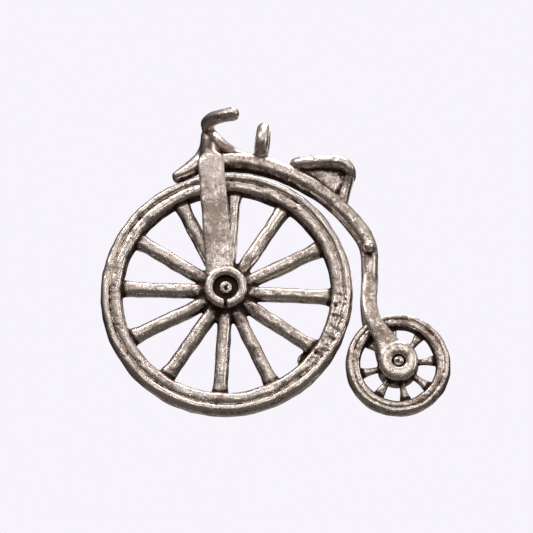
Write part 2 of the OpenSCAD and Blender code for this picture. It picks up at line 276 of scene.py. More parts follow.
def bar(
    stations: Stations,
    power: float,
    beside: Sequence[float] = (0, 1, 0),
    ends: tuple[Optional[float], Optional[float]] = (None, None),
    count: int = 110,
    around: int = 40,
) -> Shell:
    """A bar swept along a curve, with a superellipse for its section and domed ends.

    Each station holds x, y, z, the half size across the curve, and the half size beside
    it. Near an end both sizes shrink as a quarter circle over the length of the dome.

    Args:
        stations: rows of x, y, z, half size across, half size beside.
        power: the superellipse's power; 2 is an ellipse, and 6 is nearly a rectangle.
        beside: the direction that the last size is measured along.
        ends: the length of the dome at each end, or None for the smaller half size.
        count: number of rings along the bar.
        around: number of points in a ring.

    Returns:
        The closed shell.
    """
    rows = curve_through(stations, count)
    path, sizes = rows[:, :3], rows[:, 3:5]
    along = np.gradient(path, axis=0)
    along /= np.linalg.norm(along, axis=1)[:, None]
    side = np.array(beside, float) - along * (along @ np.array(beside, float))[:, None]
    side /= np.linalg.norm(side, axis=1)[:, None]
    across = np.cross(along, side)
    run = distance_along(path)
    domes = [min(sizes[k]) if d is None else d for k, d in zip((0, -1), ends)]
    inset = np.minimum(run / domes[0], (run[-1] - run) / domes[1])
    shrink = np.sqrt(np.clip(1 - (1 - np.clip(inset, 0, 1)) ** 2, 0, 1))
    c, s = flattened_circle(np.linspace(0, 2 * np.pi, around, endpoint=False), power)
    rings = (
        path[:, None]
        + across[:, None] * (sizes[:, :1] * shrink[:, None] * c)[..., None]
        + side[:, None] * (sizes[:, 1:] * shrink[:, None] * s)[..., None]
    )
    return capped(rings[1:-1], path[0], path[-1])


def ring(
    radius: float,
    half_depth: float,
    half_width: float,
    powers: tuple[float, float],
    around: int,
    profile: int,
) -> Shell:
    """A band about the Y axis: a superellipse section carried round a circle.

    Args:
        radius: radius of the section's middle.
        half_depth: half size of the section along the radius.
        half_width: half size of the section along the axis.
        powers: the superellipse's power on the outer and on the inner half.
        around: number of sections round the circle.
        profile: number of points in a section.

    Returns:
        The closed shell.
    """
    angle = np.linspace(0, 2 * np.pi, profile, endpoint=False)
    c, s = flattened_circle(angle, np.where(np.cos(angle) > 0, *powers))
    turn = np.linspace(0, 2 * np.pi, around, endpoint=False)[:, None]
    r = radius + half_depth * c[None, :] + 0 * turn
    y = half_width * s[None, :] + 0 * r
    points = np.stack([r * np.cos(turn), y, r * np.sin(turn)], -1)
    return Shell(points.reshape(-1, 3), grid_quads(around, profile, True)).outward()


def disc(
    radius: float, half_width: float, power: float, around: int = 96, rows: int = 40
) -> Shell:
    """A round plate about the Y axis: a superellipse of radius and width, spun once.

    Args:
        radius: the plate's radius.
        half_width: half its width along the axis.
        power: the superellipse's power.
        around: number of points round the plate.
        rows: number of rings from face to face.

    Returns:
        The closed shell.
    """
    c, s = flattened_circle(np.linspace(-np.pi / 2, np.pi / 2, rows), power)
    turn = np.linspace(0, 2 * np.pi, around, endpoint=False)
    r = radius * c[:, None]
    y = half_width * s[:, None] + 0 * r * turn
    rings = np.stack([r * np.cos(turn), y, r * np.sin(turn)], -1)
    pole = np.array([0, half_width, 0])
    return capped(rings[1:-1], -pole, pole)


# ------------------------------------------------------------------ casting


@dataclass(frozen=True)
class Mark:
    """A small round mark in the metal.

    Attributes:
        at: its middle, in millimetres.
        radius: how far it reaches.
        amount: its depth in millimetres for a dent, or its strength for a rubbed spot, or, below
            zero, for a dull spot or a spot of painted shade.
    """

    at: tuple[float, float, float]
    radius: float
    amount: float

    def falloff(self, points: np.ndarray) -> np.ndarray:
        """A bell curve of the distance from the middle: e to the minus square."""
        away = ((points - np.array(self.at)) ** 2).sum(1)
        return self.amount * np.exp(-away / self.radius**2)


def scattered_marks(
    seed: int,
    count: int,
    spots: np.ndarray,
    radius: tuple[float, float],
    amount: tuple[float, float],
) -> list[Mark]:
    """Marks of random size at random choices among the given spots.

    Args:
        seed: the random seed.
        count: number of marks.
        spots: the points to choose from, one a row.
        radius: the smallest and the largest reach.
        amount: the least and the greatest depth or strength.

    Returns:
        The marks.
    """
    rng = np.random.default_rng(seed)
    chosen = spots[rng.integers(0, len(spots), count)]
    sizes, amounts = rng.uniform(*radius, count), rng.uniform(*amount, count)
    return [Mark(tuple(p), r, a) for p, r, a in zip(chosen, sizes, amounts)]


def marks(*rows: Sequence[float]) -> list[Mark]:
    """Marks from rows of x, y, z, radius and amount."""
    return [Mark(tuple(row[:3]), row[3], row[4]) for row in rows]


def ripple(
    points: np.ndarray, seed: int, shortest: float, longest: float, amount: float
) -> np.ndarray:
    """A gentle unevenness: the mean of 28 sine waves of random length and direction.

    Args:
        points: where it is wanted, in millimetres.
        seed: the random seed.
        shortest: the shortest wave.
        longest: the longest wave.
        amount: the usual height of the sum.

    Returns:
        One height a point, in millimetres.
    """
    rng = np.random.default_rng(seed)
    waves = 28
    heading = rng.normal(size=(waves, 3))
    heading /= np.linalg.norm(heading, axis=1)[:, None]
    length = np.exp(rng.uniform(np.log(shortest), np.log(longest), waves))
    phase = rng.uniform(0, 2 * np.pi, waves)
    turns = points @ (heading / length[:, None]).T * 2 * np.pi + phase
    return amount * np.sin(turns).sum(1) / math.sqrt(waves / 2)


def neighbour_mean(values: np.ndarray, edges: np.ndarray, rounds: int) -> np.ndarray:
    """Values averaged with those of their neighbours along the edges, several times.

    Each round gives half a point's own value plus half the mean of its neighbours'.

    Args:
        values: one value or one row a point.
        edges: pairs of point numbers.
        rounds: how many times.

    Returns:
        One row a point.
    """
    count = len(values)
    ends = np.concatenate([edges[:, 0], edges[:, 1]])
    others = np.concatenate([edges[:, 1], edges[:, 0]])
    degree = np.maximum(np.bincount(ends, minlength=count), 1)[:, None]
    out = values.reshape(count, -1)
    for _ in range(rounds):
        sums = [np.bincount(ends, weights=column[others], minlength=count) for column in out.T]
        out = 0.5 * out + 0.5 * np.stack(sums, -1) / degree
    return out


def mesh_from(name: str, shell: Shell) -> bpy.types.Mesh:
    """A Blender mesh with the shell's points and faces, in the shell's own unit.

    Args:
        name: the mesh's name.
        shell: its points and faces.

    Returns:
        The mesh.
    """
    mesh = bpy.data.meshes.new(name)
    corners = np.concatenate([shell.quads.ravel(), shell.tris.ravel()]).astype(np.int32)
    sizes = np.concatenate([np.full(len(shell.quads), 4), np.full(len(shell.tris), 3)])
    starts = np.concatenate([[0], np.cumsum(sizes)[:-1]]).astype(np.int32)
    mesh.vertices.add(len(shell.points))
    mesh.loops.add(len(corners))
    mesh.polygons.add(len(sizes))
    mesh.vertices.foreach_set("co", shell.points.astype(np.float32).ravel())
    mesh.loops.foreach_set("vertex_index", corners)
    mesh.polygons.foreach_set("loop_start", starts)
    mesh.update(calc_edges=True)
    mesh.validate()
    return mesh


def melted(name: str, shell: Shell, grain: float, softness: int) -> bpy.types.Mesh:
    """Overlapping shells melted into one skin, its inner corners drawn into fillets.

    Args:
        name: the new mesh's name.
        shell: the shells, joined.
        grain: size of the cells that the skin is rebuilt from, in millimetres.
        softness: rounds of smoothing that widen the fillets.

    Returns:
        The skin, in millimetres.
    """
    rough = bpy.data.objects.new(name + "_rough", mesh_from(name + "_rough", shell))
    bpy.context.scene.collection.objects.link(rough)
    weld = rough.modifiers.new("weld", "REMESH")
    weld.mode = "VOXEL"
    weld.voxel_size = grain
    soften = rough.modifiers.new("soften", "SMOOTH")
    soften.factor = 0.5
    soften.iterations = softness
    graph = bpy.context.evaluated_depsgraph_get()
    mesh = bpy.data.meshes.new_from_object(rough.evaluated_get(graph))
    mesh.name = name
    bpy.data.objects.remove(rough)
    return mesh


class Body(Enum):
    """The frame's moving bodies."""

    FRAME = "frame"
    FRONT_WHEEL = "front_wheel"
    REAR_WHEEL = "rear_wheel"


@dataclass
class Casting:
    """One piece of cast silver, from its shells to the finished object.

    Attributes:
        name: the piece's name.
        shells: closed surfaces in millimetres about the origin below.
        origin: what the shells are measured from, in the frame's millimetres.
        body: the body it rides on.
        replaced: the frame nodes that it stands for.
        finish: its silver finish.
        grain: cell size of the melted skin, or None to keep the shells as they are.
        softness: rounds of smoothing of the melted skin.
        dents: marks pressed into the metal.
        rubs_and_shades: spots that wear has rubbed bright, or, below zero, left dull or darkened
            with painted shade.
        shade_and_tarnish: tells how much painted shade and tarnish darken each point, or None.
        seed: seed of its unevenness.
        unevenness: height of the unevenness of its skin, in millimetres.
    """

    name: str
    shells: list[Shell]
    origin: np.ndarray
    body: Body
    replaced: Sequence[str]
    finish: "SilverFinish"
    grain: Optional[float] = None
    softness: int = 8
    dents: Sequence[Mark] = ()
    rubs_and_shades: Sequence[Mark] = ()
    shade_and_tarnish: Optional[Callable[[np.ndarray], np.ndarray]] = None
    seed: int = 1
    unevenness: float = 0.02

    LONG_WAVES = (0.9, 5.0, 1.0)
    SHORT_WAVES = (0.3, 0.8, 0.12)
    NEAR_ROUNDS, WIDE_ROUNDS, LAST_ROUNDS = 4, 22, 2
    FINE_GAIN, BROAD_GAIN = 7.0, 3.2

    def build(self) -> bpy.types.Object:
        """Makes the mesh, wears it, dresses it and puts it on its body.

        Returns:
            The finished piece.
        """
        shell = joined(self.shells)
        if self.grain:
            mesh = melted(self.name, shell, self.grain, self.softness)
        else:
            mesh = mesh_from(self.name, shell)
        self.wear(mesh)
        piece = bpy.data.objects.new(self.name, mesh)
        bpy.context.scene.collection.objects.link(piece)
        mesh.materials.clear()
        mesh.materials.append(self.finish.material())
        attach(piece, self.body.value)
        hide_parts(*self.replaced)
        log.info("%s: %d faces on %s", self.name, len(mesh.polygons), self.body.value)
        return piece

    def wear(self, mesh: bpy.types.Mesh) -> None:
        """Gives the skin its unevenness, dents and the attributes that its finish reads.

        The unevenness is two ripples, each with its shortest and longest wave and its
        share of the height. A point's ridge value is its distance outward from the mean
        of its neighbourhood, near and wide: it is above a half on edges and below on
        hollows.

        Args:
            mesh: the mesh, in millimetres; it is left in the frame's metres.
        """
        count = len(mesh.vertices)
        points = np.zeros(count * 3, np.float32)
        mesh.vertices.foreach_get("co", points)
        points = points.reshape(-1, 3).astype(float)
        normals = np.zeros(count * 3, np.float32)
        mesh.vertex_normals.foreach_get("vector", normals)
        normals = normals.reshape(-1, 3).astype(float)
        edges = np.zeros(len(mesh.edges) * 2, np.int32)
        mesh.edges.foreach_get("vertices", edges)
        edges = edges.reshape(-1, 2)
        lift = np.zeros(count)
        for shift, (shortest, longest, share) in ((0, self.LONG_WAVES), (50, self.SHORT_WAVES)):
            height = share * self.unevenness
            lift += ripple(points, self.seed + shift, shortest, longest, height)
        for dent in self.dents:
            lift -= dent.falloff(points)
        points = points + normals * lift[:, None]
        near = neighbour_mean(points, edges, self.NEAR_ROUNDS)
        wide = neighbour_mean(near, edges, self.WIDE_ROUNDS)
        fine_ridge = ((points - near) * normals).sum(1)
        broad_ridge = ((points - wide) * normals).sum(1)
        ridge = 0.5 + self.FINE_GAIN * fine_ridge + self.BROAD_GAIN * broad_ridge
        ridge = neighbour_mean(ridge, edges, self.LAST_ROUNDS)[:, 0]
        # Above zero this rubs the metal bright; below zero it dulls and darkens it, partly as wear
        # and tarnish and partly as painted shade.
        rub_and_shade = np.zeros(count)
        for spot in self.rubs_and_shades:
            rub_and_shade += spot.falloff(points)
        if self.shade_and_tarnish:
            rub_and_shade -= self.shade_and_tarnish(points)
        for label, values in (("ridge", ridge), ("rub_and_shade", rub_and_shade)):
            layer = mesh.attributes.new(label, "FLOAT", "POINT")
            layer.data.foreach_set("value", np.clip(values, -1, 2).astype(np.float32))
        placed = (points + self.origin) * MM
        mesh.vertices.foreach_set("co", placed.astype(np.float32).ravel())
        mesh.polygons.foreach_set("use_smooth", np.ones(len(mesh.polygons), bool))
        mesh.update()


# ------------------------------------------------------------------ finishes


class Slot(Enum):
    """The record's material slots."""

    WORN = "worn_silver"
    BRIGHT = "bright_silver"
    TARNISHED = "tarnished_silver"


class NodeSheet:
    """A node tree written one node at a time."""

    def __init__(self, tree: bpy.types.NodeTree) -> None:
        """Keeps the tree that the nodes go into."""
        self.tree = tree

    def add(self, kind: str, inputs: Optional[dict] = None, **settings: object) -> bpy.types.Node:
        """Adds a node.

        Args:
            kind: the node's type, without its ShaderNode prefix.
            inputs: input names or numbers, each with a value or a socket to link.
            settings: the node's own properties.

        Returns:
            The new node.
        """
        node = self.tree.nodes.new("ShaderNode" + kind)
        for key, value in settings.items():
            setattr(node, key, value)
        for key, value in (inputs or {}).items():
            if isinstance(value, bpy.types.NodeSocket):
                self.tree.links.new(value, node.inputs[key])
            else:
                node.inputs[key].default_value = value
        return node

    def math(self, operation: str, *values: object, clamp: bool = False) -> bpy.types.NodeSocket:
        """The result of a math node over one, two or three values."""
        node = self.add("Math", dict(enumerate(values)), operation=operation, use_clamp=clamp)
        return node.outputs[0]

    def feed(self, node: bpy.types.Node, sockets: dict[str, bpy.types.NodeSocket]) -> None:
        """Links each socket to the node's input of that name."""
        for label, socket in sockets.items():
            self.tree.links.new(socket, node.inputs[label])

    def weighted(self, base: float, *terms: tuple) -> bpy.types.NodeSocket:
        """A base value plus each socket times its weight.

        Args:
            base: the value to start from.
            terms: pairs of a socket and its weight.

        Returns:
            The sum.
        """
        total: object = base
        for socket, weight in terms:
            total = self.math("MULTIPLY_ADD", socket, weight, total)
        return total

    def step(self, value: object, low: float, high: float) -> bpy.types.NodeSocket:
        """A smooth rise from 0 at low to 1 at high; low may be the larger.

        Args:
            value: the value or socket that rises.
            low: where the rise starts.
            high: where it ends.

        Returns:
            The risen value.
        """
        values = {"Value": value, "From Min": low, "From Max": high}
        node = self.add("MapRange", values, interpolation_type="SMOOTHSTEP")
        return node.outputs["Result"]

    def blend(self, factor: object, a: object, b: object) -> bpy.types.NodeSocket:
        """A colour between a and b."""
        node = self.add("Mix", {0: factor, 6: a, 7: b}, data_type="RGBA")
        return node.outputs[2]

    def noise(
        self,
        vector: object,
        scale: float,
        detail: float = 4,
        roughness: float = 0.55,
        twist: float = 0,
    ) -> bpy.types.NodeSocket:
        """Fractal noise around a half.

        Args:
            vector: the place it reads.
            scale: its waves to a metre.
            detail: its number of octaves.
            roughness: how strong each octave is beside the one before.
            twist: how far it is distorted.

        Returns:
            The noise.
        """
        values = {
            "Vector": vector,
            "Scale": scale,
            "Detail": detail,
            "Roughness": roughness,
            "Distortion": twist,
        }
        return self.add("TexNoise", values).outputs["Fac"]


def new_group(name: str, inputs: dict[str, str], outputs: dict[str, str]) -> tuple:
    """A shader node group with named sockets.

    Args:
        name: the group's name.
        inputs: input names, each with Float, Vector or Color.
        outputs: output names, each with the same.

    Returns:
        The group, its sheet, the sockets that come in and its output node.
    """
    group = bpy.data.node_groups.new(name, "ShaderNodeTree")
    for direction, sockets in (("INPUT", inputs), ("OUTPUT", outputs)):
        for label, kind in sockets.items():
            kind = "NodeSocket" + kind
            group.interface.new_socket(label, in_out=direction, socket_type=kind)
    source = group.nodes.new("NodeGroupInput")
    sink = group.nodes.new("NodeGroupOutput")
    return group, NodeSheet(group), source.outputs, sink


def cast_skin_group() -> bpy.types.NodeTree:
    """The fine relief of cast and handled silver, built once.

    Mottling from two noises, small pits where the cells of a Voronoi pattern are near
    their middles and a broad noise is high, and shallow scratches from a noise that is
    stretched along one direction.

    Returns:
        The group.
    """
    name = "cast_skin"
    if name in bpy.data.node_groups:
        return bpy.data.node_groups[name]
    inputs = {"Vector": "Vector", "Pitting": "Float"}
    outputs = {"Height": "Float", "Pits": "Float", "Mottle": "Float"}
    group, sheet, port, sink = new_group(name, inputs, outputs)
    place = port["Vector"]
    mottle = sheet.noise(place, 2100, 5, 0.62)
    fine = sheet.noise(place, 6500, 4, 0.6)
    cells = sheet.add("TexVoronoi", {"Vector": place, "Scale": 3400, "Randomness": 1.0})
    small = sheet.add("TexVoronoi", {"Vector": place, "Scale": 7600, "Randomness": 1.0})
    where = sheet.step(sheet.noise(place, 620, 3), 0.47, 0.62)
    deep = sheet.step(cells.outputs["Distance"], 0.26, 0.08)
    tiny = sheet.step(small.outputs["Distance"], 0.3, 0.1)
    pits = sheet.math("MAXIMUM", deep, sheet.math("MULTIPLY", tiny, 0.6))
    pits = sheet.math("MULTIPLY", pits, where)
    pits = sheet.math("MULTIPLY", pits, port["Pitting"], clamp=True)
    stretch = {"Vector": place, "Rotation": (0.5, 0.9, 0.35), "Scale": (1.0, 1.0, 0.06)}
    turned = sheet.add("Mapping", stretch).outputs[0]
    drag = sheet.step(sheet.noise(turned, 9000, 2, 0.5), 0.6, 0.75)
    height = sheet.weighted(0.0, (mottle, 0.22), (fine, 0.2), (pits, -0.8), (drag, -0.12))
    sheet.feed(sink, {"Height": height, "Pits": pits, "Mottle": mottle})
    return group


def patina_group() -> bpy.types.NodeTree:
    """Where silver is bright, where it is dull and where tarnish stays, built once.

    Wear is high on ridges and rubbed spots; tarnish is high in hollows, in pits and in
    corners that little light reaches, and both are broken up by noise. Both also follow
    the rub-and-shade input, which is below zero where painted shade darkens the metal.
    Each is a sum of its causes times their weights, put through a smooth step.

    Returns:
        The group.
    """
    name = "silver_patina"
    if name in bpy.data.node_groups:
        return bpy.data.node_groups[name]
    causes = ("Ridge", "Rub_and_shade", "Shelter", "Pits", "Mottle", "Wear", "Tarnish", "Mottling")
    inputs = {"Vector": "Vector", **dict.fromkeys(causes, "Float")}
    inputs |= dict.fromkeys(("Bright", "Dull", "Dark"), "Color")
    outputs = {"Color": "Color", "Roughness": "Float", "Metallic": "Float"}
    group, sheet, port, sink = new_group(name, inputs, outputs)
    broad = sheet.noise(port["Vector"], 700, 4, 0.55, 0.6)
    speckle = sheet.noise(port["Vector"], 3600, 5, 0.72)
    ridge = sheet.math("SUBTRACT", port["Ridge"], 0.5)
    mottle, patch, grit = (
        sheet.math("MULTIPLY", sheet.math("SUBTRACT", noise, 0.5), port["Mottling"])
        for noise in (port["Mottle"], broad, speckle)
    )
    worn = sheet.weighted(
        port["Wear"],
        (ridge, 3.6),
        (port["Rub_and_shade"], 1.0),
        (mottle, 2.8),
        (patch, 2.8),
        (grit, 4.2),
    )
    worn = sheet.step(worn, 0.1, 0.9)
    kept = sheet.weighted(
        port["Tarnish"],
        (port["Shelter"], 1.5),
        (ridge, -2.8),
        (port["Rub_and_shade"], -0.8),
        (port["Pits"], 0.9),
        (mottle, -1.5),
        (patch, -0.8),
        (grit, -2.0),
    )
    kept = sheet.step(kept, 0.35, 1.1)
    silver = sheet.blend(worn, port["Dull"], port["Bright"])
    colour = sheet.blend(kept, silver, port["Dark"])
    polish = sheet.weighted(0.33, (worn, -0.1), (kept, 0.25), (grit, 0.35))
    metal = sheet.weighted(1.0, (kept, -0.35))
    sheet.feed(sink, {"Color": colour, "Roughness": polish, "Metallic": metal})
    return group


@dataclass(frozen=True)
class SilverFinish:
    """Antiqued sterling silver, more or less worn.

    Attributes:
        name: the material's name.
        slot: the record's slot; not used.
        wear: how much of the surface is rubbed bright, around 0.5.
        tarnish: how far tarnish spreads out of the hollows, around 0.
        pitting: how many casting pits show.
        mottling: how strongly noise breaks up wear and tarnish.
        bright: colour of rubbed silver.
        dull: colour of handled silver.
        dark: colour of tarnish.
        relief: height of the fine relief, in metres.
        relief_strength: how strongly it bends the light.
        nook_reach: how far off a wall still shelters a corner, in metres.
    """

    name: str
    slot: Slot
    wear: float
    tarnish: float
    pitting: float
    mottling: float = 1.0
    bright: Colour = (1.0, 0.905, 0.845, 1)
    dull: Colour = (0.47, 0.375, 0.33, 1)
    dark: Colour = (0.055, 0.029, 0.019, 1)
    relief: float = 0.00009
    relief_strength: float = 0.8
    nook_reach: float = 0.0013

    def material(self) -> bpy.types.Material:
        """The finish as a material, made the first time it is asked for.

        Returns:
            The material.
        """
        if self.name in bpy.data.materials:
            return bpy.data.materials[self.name]
        material = bpy.data.materials.new(self.name)
        material.use_nodes = True
        sheet = NodeSheet(material.node_tree)
        shader = material.node_tree.nodes["Principled BSDF"]
        place = sheet.add("TexCoord").outputs["Object"]
        nook = sheet.add("AmbientOcclusion", {"Distance": self.nook_reach}, samples=8)
        skin = {"Vector": place, "Pitting": self.pitting}
        skin = sheet.add("Group", skin, node_tree=cast_skin_group()).outputs
        causes = {
            "Vector": place,
            "Ridge": sheet.add("Attribute", attribute_name="ridge").outputs["Fac"],
            "Rub_and_shade": sheet.add("Attribute", attribute_name="rub_and_shade").outputs["Fac"],
            "Shelter": sheet.math("SUBTRACT", 1.0, nook.outputs["AO"]),
            "Pits": skin["Pits"],
            "Mottle": skin["Mottle"],
            "Wear": self.wear,
            "Tarnish": self.tarnish,
            "Mottling": self.mottling,
            "Bright": self.bright,
            "Dull": self.dull,
            "Dark": self.dark,
        }
        patina = sheet.add("Group", causes, node_tree=patina_group()).outputs
        relief = {"Height": skin["Height"], "Distance": self.relief}
        bump = sheet.add("Bump", {**relief, "Strength": self.relief_strength})
        values = {"Base Color": patina["Color"], "Normal": bump.outputs["Normal"]}
        values |= {label: patina[label] for label in ("Roughness", "Metallic")}
        sheet.feed(shader, values)
        return material


BACKBONE_SILVER = SilverFinish(
    "backbone_silver", Slot.WORN, wear=0.45, tarnish=0.04, pitting=0.75, mottling=0.95
)
WHEEL_SILVER = SilverFinish("wheel_silver", Slot.WORN, wear=0.42, tarnish=0.12, pitting=0.9)
HEAD_SILVER = SilverFinish(
    "head_silver", Slot.BRIGHT, wear=0.44, tarnish=0.0, pitting=0.7, mottling=0.75
)
SMALL_WHEEL_SILVER = SilverFinish(
    "small_wheel_silver",
    Slot.WORN,
    wear=0.36,
    tarnish=0.12,
    pitting=0.8,
    dull=(0.46, 0.35, 0.30, 1),
)
PIN_SILVER = SilverFinish("pin_silver", Slot.TARNISHED, wear=0.25, tarnish=0.3, pitting=1.0)


# ------------------------------------------------------------------ the wheels


@dataclass
class SpokedWheel:
    """A cast wheel: an outer band, an inner band, spokes that flare into it, and a hub.

    Lengths are in millimetres about the axle, and angles in degrees. The outer radius
    and the width of the outer band come from the frame.
    """

    side: Body
    band_node: str
    other_nodes: tuple[str, ...]
    band_depth: float
    rim_radius: float
    rim_half_depth: float
    rim_half_width: float
    spokes: int
    first_spoke: float
    spoke_half: tuple[float, float]
    spoke_flare: float
    disc_radius: float
    disc_half_width: float
    barrel_radius: float
    barrel_half_width: float
    grain: float
    softness: int
    seed: int
    finish: SilverFinish
    nudges: tuple[float, ...]
    scars: list[Mark]
    rubs_and_shades: list[Mark]
    extras: list[Shell] = field(default_factory=list)

    BAND_POWERS = (2.4, 3.4)
    RIM_POWERS = (2.2, 3.6)
    SPOKE_POWER, DISC_POWER, BARREL_POWER = 2.8, 3.0, 5.0

    def band(self, origin: np.ndarray) -> bpy.types.Object:
        """The outer band, rounded on its tread.

        Args:
            origin: the axle, in the frame's millimetres.

        Returns:
            The finished piece.
        """
        low, high = node_box(self.band_node)
        outer, half_width = (high[0] - low[0]) / 2, (high[1] - low[1]) / 2
        half = self.band_depth / 2
        shell = ring(outer - half, half, half_width, self.BAND_POWERS, around=900, profile=44)
        return Casting(
            self.side.value + "_outer_band",
            [shell],
            origin,
            self.side,
            [self.band_node],
            self.finish,
            dents=self.scars,
            rubs_and_shades=self.rubs_and_shades,
            seed=self.seed,
        ).build()

    def spoke(self, angle: float) -> Shell:
        """One spoke, widening as a bell curve of its distance from the rim.

        Args:
            angle: where it points.

        Returns:
            The closed shell.
        """
        rows = 12
        start = 0.4 * self.disc_radius
        end = self.rim_radius - 0.2 * self.rim_half_depth
        reach = np.linspace(start, end, rows)
        inner_edge = self.rim_radius - self.rim_half_depth
        near_rim = np.exp(-(((inner_edge - reach) / (1.2 * self.spoke_flare)) ** 2))
        near_rim = np.where(reach > inner_edge, 1.0, near_rim)
        across = self.spoke_half[0] + self.spoke_flare * 0.45 * near_rim
        deep = np.full(rows, self.spoke_half[1])
        turn = math.radians(angle)
        places = reach[:, None] * np.array([math.cos(turn), 0, math.sin(turn)])
        stations = np.concatenate([places, across[:, None], deep[:, None]], 1)
        return bar(stations, self.SPOKE_POWER, count=60, around=32, ends=(0.2, 0.2))

    def shade_and_tarnish(self, points: np.ndarray) -> np.ndarray:
        """Painted shade on the rim's inner wall, and tarnish round the hub.

        The wall is a ramp up times a ramp down of the distance from the axle, and the
        hub a smooth step of it, u * u * (3 - 2 * u).

        Args:
            points: where it is wanted, about the axle.

        Returns:
            One share a point.
        """
        away = np.hypot(points[:, 0], points[:, 2])
        wall = self.rim_radius - self.rim_half_depth
        inside = np.clip((wall + 0.14 - away) / 0.16, 0, 1)
        inside = inside * np.clip((away - wall + 0.35) / 0.2, 0, 1)
        near_hub = np.clip((1.5 * self.disc_radius - away) / (0.75 * self.disc_radius), 0, 1)
        return 1.3 * inside + 0.7 * near_hub * near_hub * (3 - 2 * near_hub)

    def spider(self, origin: np.ndarray) -> bpy.types.Object:
        """The inner band, the spokes and the hub, melted into one casting.

        Args:
            origin: the axle, in the frame's millimetres.

        Returns:
            The finished piece.
        """
        turns = self.first_spoke + 360 * np.arange(self.spokes) / self.spokes
        turns = turns + np.array(self.nudges)
        rim = (self.rim_radius, self.rim_half_depth, self.rim_half_width)
        shells = [
            ring(*rim, self.RIM_POWERS, around=360, profile=40),
            disc(self.disc_radius, self.disc_half_width, self.DISC_POWER),
            disc(self.barrel_radius, self.barrel_half_width, self.BARREL_POWER),
            *(self.spoke(angle) for angle in turns),
            *self.extras,
        ]
        return Casting(
            self.side.value + "_spokes_and_hub",
            shells,
            origin,
            self.side,
            list(self.other_nodes),
            self.finish,
            grain=self.grain,
            softness=self.softness,
            dents=self.scars,
            rubs_and_shades=self.rubs_and_shades,
            shade_and_tarnish=self.shade_and_tarnish,
            seed=self.seed + 7,
        ).build()


def rim_spots(
    reaches: Sequence[float], y: float, start: float, end: float, count: int
) -> np.ndarray:
    """Spots on one side of a wheel, along arcs about its axle.

    Args:
        reaches: radius of each arc.
        y: how far along the axle the spots are.
        start: the first angle, in degrees.
        end: the last angle.
        count: number of spots on an arc.

    Returns:
        One row a spot.
    """
    spots = np.concatenate([arc((0, 0), reach, start, end, count) for reach in reaches])
    spots[:, 1] = y
    return spots


def front_wheel() -> SpokedWheel:
    """The big wheel, with its scarred quarter, a bead on its rim and a scrap of flash.

    Returns:
        The wheel, ready to build.
    """
    face = -0.86
    scarred = rim_spots((8.55, 8.85, 9.2), face, -42, -3, 60)
    anywhere = rim_spots((8.5, 8.8, 9.3), face, 0, 360, 240)
    bead_at = rim_spots((8.8,), -0.8, 50, 50, 1)[0]
    bead = ring(0.2, 0.08, 0.1, (2, 2), around=24, profile=12).moved(bead_at)
    flash_at = rim_spots((8.1,), 0.4, -41, -41, 1)[0]
    flash = disc(0.66, 0.18, 2.5, 32, 16).moved(flash_at)
    return SpokedWheel(
        side=Body.FRONT_WHEEL,
        band_node="front_tyre_band",
        other_nodes=("front_rim", "front_spokes", "front_hub"),
        band_depth=0.8,
        rim_radius=8.7,
        rim_half_depth=0.6,
        rim_half_width=0.86,
        spokes=12,
        first_spoke=-3,
        spoke_half=(0.55, 0.62),
        spoke_flare=0.3,
        disc_radius=2.5,
        disc_half_width=0.62,
        barrel_radius=1.5,
        barrel_half_width=1.0,
        grain=0.09,
        softness=4,
        seed=11,
        finish=WHEEL_SILVER,
        nudges=(0.3, -0.8, 0.3, -0.6, -0.3, 1.4, 0.6, -0.5, -0.8, 0.3, -0.8, -0.5),
        scars=scattered_marks(5, 46, scarred, (0.09, 0.2), (0.03, 0.1))
        + scattered_marks(6, 60, anywhere, (0.08, 0.16), (0.01, 0.045)),
        rubs_and_shades=scattered_marks(8, 34, anywhere, (0.4, 1.2), (-0.3, 0.6))
        + [Mark(tuple(flash_at), 0.5, -1.2)],
        extras=[bead, flash],
    )


def rear_wheel() -> SpokedWheel:
    """The small wheel.

    Returns:
        The wheel, ready to build.
    """
    anywhere = rim_spots((3.2, 3.5), -0.68, 0, 360, 120)
    return SpokedWheel(
        side=Body.REAR_WHEEL,
        band_node="rear_tyre_band",
        other_nodes=("rear_rim", "rear_spokes", "rear_hub"),
        band_depth=0.58,
        rim_radius=3.3,
        rim_half_depth=0.42,
        rim_half_width=0.7,
        spokes=8,
        first_spoke=10,
        spoke_half=(0.24, 0.3),
        spoke_flare=0.42,
        disc_radius=1.6,
        disc_half_width=0.42,
        barrel_radius=1.25,
        barrel_half_width=0.8,
        grain=0.055,
        softness=6,
        seed=23,
        finish=SMALL_WHEEL_SILVER,
        nudges=(-3, -2, 0, -4, 4, 3, 1, -2),
        scars=scattered_marks(9, 30, anywhere, (0.08, 0.16), (0.01, 0.04)),
        rubs_and_shades=scattered_marks(10, 10, anywhere, (0.4, 0.9), (-0.2, 0.4)),
    )


# ------------------------------------------------------------------ head, handlebar and front fork


